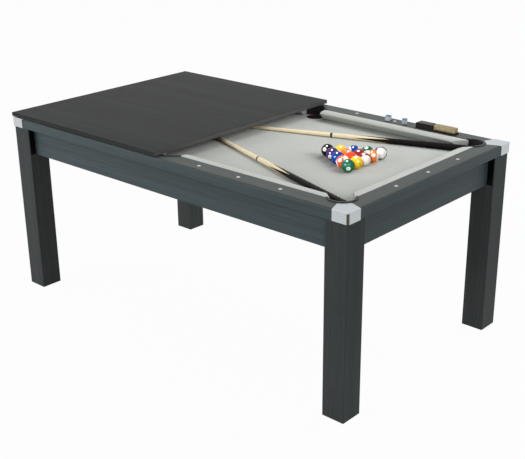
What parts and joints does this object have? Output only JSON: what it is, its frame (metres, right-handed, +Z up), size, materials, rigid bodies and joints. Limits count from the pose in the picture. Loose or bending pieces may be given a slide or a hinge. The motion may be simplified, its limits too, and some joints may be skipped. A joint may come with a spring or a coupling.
{
  "type": "pool table with dining top",
  "caption": "Six-pocket pool table on square legs with grey cloth, a lift-off dining board over half of it, and loose balls, cues, chalk and a brush.",
  "frame": {"origin": "middle of the table's footprint, on the floor", "axes": "+X along the length towards the half without the dining top, +Y across it towards the back, +Z up"},
  "size_m": [1.85, 1.05, 0.8263],
  "materials": {
    "cabinet": "dark wood-grain laminate",
    "rail": "dark wood-grain laminate",
    "cushion": "covered in grey cloth",
    "leveller": "moulded",
    "pocket": "moulded, satin black",
    "cap": "satin silver",
    "bed": "raw fibreboard",
    "cloth": "grey wool cloth",
    "beam": "planed softwood",
    "sight": "white",
    "bolt": "zinc plated",
    "dining_top": "dark wood-grain laminate",
    "felt": "black felt",
    "cue_shaft": "varnished maple",
    "cue_butt": "varnished dark wood",
    "chalk": "pressed chalk in a paper wrap",
    "brush_back": "dark varnish",
    "bristle": "cream bristle",
    "ball_1": "polished, plain",
    "ball_2": "polished, plain",
    "ball_3": "polished, plain",
    "ball_4": "polished, plain",
    "ball_5": "polished, plain",
    "ball_6": "polished, plain",
    "ball_7": "polished, plain",
    "ball_8": "polished, plain",
    "ball_9": "polished, striped on white",
    "ball_10": "polished, striped on white",
    "ball_11": "polished, striped on white",
    "ball_12": "polished, striped on white",
    "ball_13": "polished, striped on white",
    "ball_14": "polished, striped on white",
    "ball_15": "polished, striped on white"
  },
  "bodies": {
    "table": {"leg_back_right": "cabinet", "leg_front_right": "cabinet", "leg_back_left": "cabinet", "leg_front_left": "cabinet", "apron_back": "cabinet", "apron_front": "cabinet", "apron_right": "cabinet", "apron_left": "cabinet", "rail_back": "rail", "rail_front": "rail", "rail_right": "rail", "rail_left": "rail", "cushion_back_right": "cushion", "cushion_front_right": "cushion", "cushion_back_left": "cushion", "cushion_front_left": "cushion", "cushion_right": "cushion", "cushion_left": "cushion", "corner_caps": "cap", "corner_liners": "pocket", "middle_liners": "pocket", "corner_cups": "pocket", "middle_cups": "pocket", "bed_board": "bed", "bed_corner_blocks": "bed", "bed_middle_blocks": "bed", "bed_cloth": "cloth", "cross_beams": "beam", "rail_sights": "sight", "leg_bolts": "bolt", "rail_bolts": "bolt"},
    "dining_top": {"dining_top": "dining_top", "top_pads": "felt"},
    "leveller_back_right": {"leveller_back_right": "leveller"},
    "leveller_front_right": {"leveller_front_right": "leveller"},
    "leveller_back_left": {"leveller_back_left": "leveller"},
    "leveller_front_left": {"leveller_front_left": "leveller"},
    "ball_1": {"ball_1": "ball_1"},
    "ball_2": {"ball_2": "ball_2"},
    "ball_3": {"ball_3": "ball_3"},
    "ball_4": {"ball_4": "ball_4"},
    "ball_5": {"ball_5": "ball_5"},
    "ball_6": {"ball_6": "ball_6"},
    "ball_7": {"ball_7": "ball_7"},
    "ball_8": {"ball_8": "ball_8"},
    "ball_9": {"ball_9": "ball_9"},
    "ball_10": {"ball_10": "ball_10"},
    "ball_11": {"ball_11": "ball_11"},
    "ball_12": {"ball_12": "ball_12"},
    "ball_13": {"ball_13": "ball_13"},
    "ball_14": {"ball_14": "ball_14"},
    "ball_15": {"ball_15": "ball_15"},
    "cue_1": {"cue_1_shaft": "cue_shaft", "cue_1_butt": "cue_butt"},
    "cue_2": {"cue_2_shaft": "cue_shaft", "cue_2_butt": "cue_butt"},
    "chalk_1": {"chalk_1": "chalk"},
    "chalk_2": {"chalk_2": "chalk"},
    "brush": {"brush_back": "brush_back", "brush_bristles": "bristle"}
  },
  "joints": [
    {"name": "dining_top_lift", "type": "slide", "parent": "table", "child": "dining_top", "axis": [0, 0, 1], "range_m": [0, 0.3]},
    {"name": "leveller_back_right_screw", "type": "slide", "parent": "table", "child": "leveller_back_right", "axis": [0, 0, -1], "range_m": [0, 0.015]},
    {"name": "leveller_front_right_screw", "type": "slide", "parent": "table", "child": "leveller_front_right", "axis": [0, 0, -1], "range_m": [0, 0.015]},
    {"name": "leveller_back_left_screw", "type": "slide", "parent": "table", "child": "leveller_back_left", "axis": [0, 0, -1], "range_m": [0, 0.015]},
    {"name": "leveller_front_left_screw", "type": "slide", "parent": "table", "child": "leveller_front_left", "axis": [0, 0, -1], "range_m": [0, 0.015]},
    {"name": "ball_1_lift", "type": "slide", "parent": "table", "child": "ball_1", "axis": [0, 0, 1], "range_m": [0, 0.2]},
    {"name": "ball_2_lift", "type": "slide", "parent": "table", "child": "ball_2", "axis": [0, 0, 1], "range_m": [0, 0.2]},
    {"name": "ball_3_lift", "type": "slide", "parent": "table", "child": "ball_3", "axis": [0, 0, 1], "range_m": [0, 0.2]},
    {"name": "ball_4_lift", "type": "slide", "parent": "table", "child": "ball_4", "axis": [0, 0, 1], "range_m": [0, 0.2]},
    {"name": "ball_5_lift", "type": "slide", "parent": "table", "child": "ball_5", "axis": [0, 0, 1], "range_m": [0, 0.2]},
    {"name": "ball_6_lift", "type": "slide", "parent": "table", "child": "ball_6", "axis": [0, 0, 1], "range_m": [0, 0.2]},
    {"name": "ball_7_lift", "type": "slide", "parent": "table", "child": "ball_7", "axis": [0, 0, 1], "range_m": [0, 0.2]},
    {"name": "ball_8_lift", "type": "slide", "parent": "table", "child": "ball_8", "axis": [0, 0, 1], "range_m": [0, 0.2]},
    {"name": "ball_9_lift", "type": "slide", "parent": "table", "child": "ball_9", "axis": [0, 0, 1], "range_m": [0, 0.2]},
    {"name": "ball_10_lift", "type": "slide", "parent": "table", "child": "ball_10", "axis": [0, 0, 1], "range_m": [0, 0.2]},
    {"name": "ball_11_lift", "type": "slide", "parent": "table", "child": "ball_11", "axis": [0, 0, 1], "range_m": [0, 0.2]},
    {"name": "ball_12_lift", "type": "slide", "parent": "table", "child": "ball_12", "axis": [0, 0, 1], "range_m": [0, 0.2]},
    {"name": "ball_13_lift", "type": "slide", "parent": "table", "child": "ball_13", "axis": [0, 0, 1], "range_m": [0, 0.2]},
    {"name": "ball_14_lift", "type": "slide", "parent": "table", "child": "ball_14", "axis": [0, 0, 1], "range_m": [0, 0.2]},
    {"name": "ball_15_lift", "type": "slide", "parent": "table", "child": "ball_15", "axis": [0, 0, 1], "range_m": [0, 0.2]},
    {"name": "cue_1_stroke", "type": "slide", "parent": "table", "child": "cue_1", "axis": [-0.9483, -0.3173, 0], "range_m": [0, 0.05]},
    {"name": "cue_2_stroke", "type": "slide", "parent": "table", "child": "cue_2", "axis": [-0.9455, 0.3256, 0], "range_m": [0, 0.05]},
    {"name": "chalk_1_lift", "type": "slide", "parent": "table", "child": "chalk_1", "axis": [0, 0, 1], "range_m": [0, 0.2]},
    {"name": "chalk_2_lift", "type": "slide", "parent": "table", "child": "chalk_2", "axis": [0, 0, 1], "range_m": [0, 0.2]},
    {"name": "brush_lift", "type": "slide", "parent": "table", "child": "brush", "axis": [0, 0, 1], "range_m": [0, 0.2]}
  ]
}
